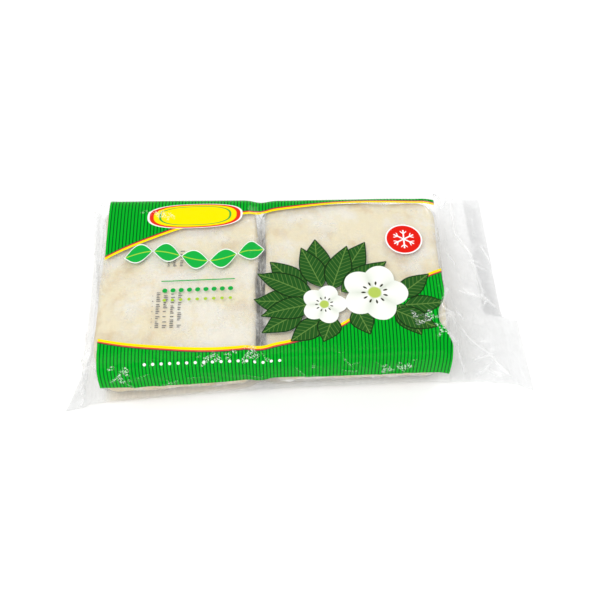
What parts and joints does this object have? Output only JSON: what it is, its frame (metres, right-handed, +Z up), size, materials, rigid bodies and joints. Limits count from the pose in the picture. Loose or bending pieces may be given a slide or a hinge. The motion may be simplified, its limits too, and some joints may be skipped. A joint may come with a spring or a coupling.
{
  "type": "bag of frozen fruit pulp",
  "caption": "Flat clear film bag, sealed at both ends, around two stacks of frozen fruit pulp sachets, with an empty flap at one end.",
  "frame": {"origin": "middle of the bag's footprint, on the ground under it", "axes": "+X along the bag towards its long empty flap, +Y to the back, +Z up"},
  "size_m": [0.286, 0.1644, 0.0399],
  "materials": {
    "bag_film": "clear film with printed bands, soft gloss",
    "sachet_film": "thin clear film, frosted from the cold",
    "frozen_pulp": "frozen pulp, pale cream, matt with frost"
  },
  "bodies": {
    "root": {"lower_left_pulp_block": "frozen_pulp", "lower_left_sachet_top_web": "sachet_film", "lower_left_sachet_bottom_web": "sachet_film", "upper_left_pulp_block": "frozen_pulp", "upper_left_sachet_top_web": "sachet_film", "upper_left_sachet_bottom_web": "sachet_film", "lower_right_pulp_block": "frozen_pulp", "lower_right_sachet_top_web": "sachet_film", "lower_right_sachet_bottom_web": "sachet_film", "upper_right_pulp_block": "frozen_pulp", "upper_right_sachet_top_web": "sachet_film", "upper_right_sachet_bottom_web": "sachet_film", "outer_bag": "bag_film"}
  },
  "joints": []
}
